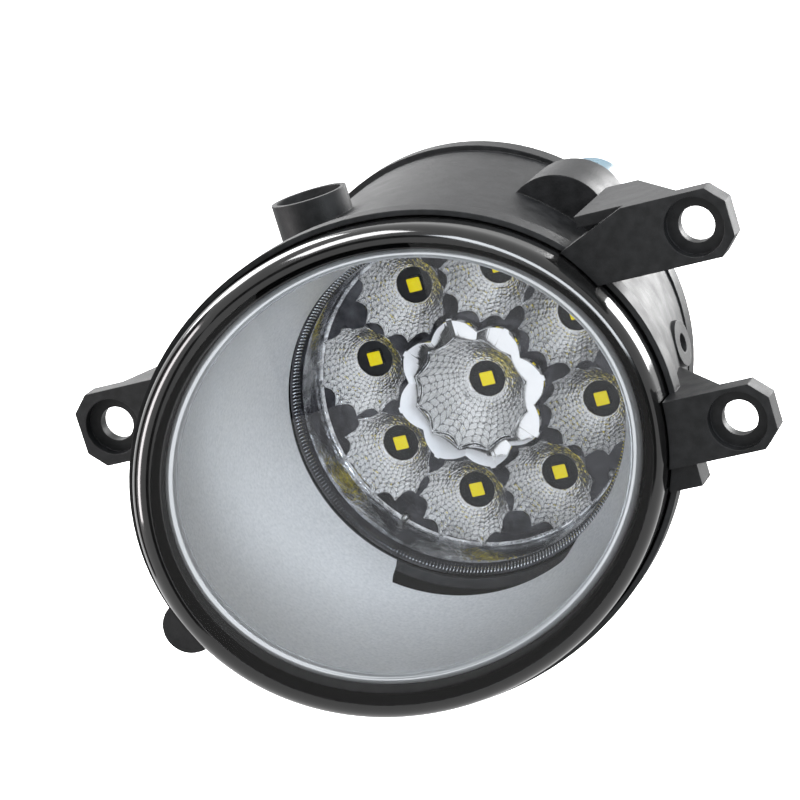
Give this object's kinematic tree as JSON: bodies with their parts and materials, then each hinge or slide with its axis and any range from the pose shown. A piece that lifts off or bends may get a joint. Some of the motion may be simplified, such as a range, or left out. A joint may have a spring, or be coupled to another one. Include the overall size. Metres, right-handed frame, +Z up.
{
  "type": "fog light",
  "caption": "Round LED fog light: clear slanted lens, silver bowl bezel, multi-cup chrome reflector on a tilting module, black housing with bolt ears, aim screw and rear connector.",
  "frame": {"origin": "centre of the lower right ear's bolt bore, at the ear's rear face", "axes": "+Z up, the light shines towards -Y, +X to the right seen from in front of the lamp"},
  "size_m": [0.1492, 0.1312, 0.1054],
  "materials": {
    "housing_black": "fine moulded grain, satin black nylon",
    "lens_clear": "polished clear polycarbonate",
    "sealant_black": "black polyurethane bead",
    "bezel_silver": "satin silver, fine grain",
    "reflector_chrome": "vacuum-metallised mirror",
    "carrier_grey": "dark grey glass-filled nylon",
    "led_yellow": "phosphor window in a dark package",
    "board_dark": "dark solder mask",
    "pad_grey": "soft silicone pad",
    "sink_aluminium": "extruded, bare",
    "steel": "zinc plated",
    "acetal_white": "natural acetal",
    "knob_blue": "pale blue translucent nylon",
    "seal_black": "matt nitrile",
    "driver_green": "green solder mask",
    "choke_grey": "ferrite",
    "capacitor_can": "drawn can",
    "chip_black": "moulded epoxy",
    "connector_black": "satin black",
    "terminal_tin": "tin plated",
    "membrane_white": "expanded PTFE"
  },
  "bodies": {
    "lamp_housing": {"housing": "housing_black", "lens": "lens_clear", "lens_sealant": "sealant_black", "bezel": "bezel_silver", "bezel_screws": "steel", "vent_membrane": "membrane_white", "pivot_pins": "steel", "aim_screw_seal": "seal_black", "rear_cover": "housing_black", "rear_gasket": "seal_black", "rear_cover_screws": "steel", "driver_board": "driver_green", "driver_choke": "choke_grey", "driver_capacitor": "capacitor_can", "driver_chip": "chip_black", "connector_shell": "connector_black", "connector_seal": "seal_black", "connector_terminals": "terminal_tin", "connector_screws": "steel"},
    "led_module": {"reflector": "reflector_chrome", "reflector_screws": "steel", "led_board": "board_dark", "thermal_pad": "pad_grey", "heat_sink": "sink_aluminium", "heat_sink_screws": "steel", "module_carrier": "carrier_grey", "pivot_bushes": "acetal_white", "aim_nut": "acetal_white", "led_1": "led_yellow", "led_2": "led_yellow", "led_3": "led_yellow", "led_4": "led_yellow", "led_5": "led_yellow", "led_6": "led_yellow", "led_7": "led_yellow", "led_8": "led_yellow", "led_9": "led_yellow"},
    "aim_screw_body": {"aim_screw": "steel", "aim_knob": "knob_blue"}
  },
  "joints": [
    {"name": "module_tilt", "type": "hinge", "parent": "lamp_housing", "child": "led_module", "pos_m": [-0.0648, 0.031, 0.01006], "axis": [1, 0, 0], "range_deg": [-2.5, 2.5]},
    {"name": "aim_screw_turn", "type": "hinge", "parent": "lamp_housing", "child": "aim_screw_body", "pos_m": [-0.033, 0.035, 0.0416], "axis": [0, 1, 0], "range_deg": [-331, 331]}
  ],
  "couplings": [
    {"joint": "aim_screw_turn", "follows": "module_tilt", "ratio": 132.11}
  ]
}
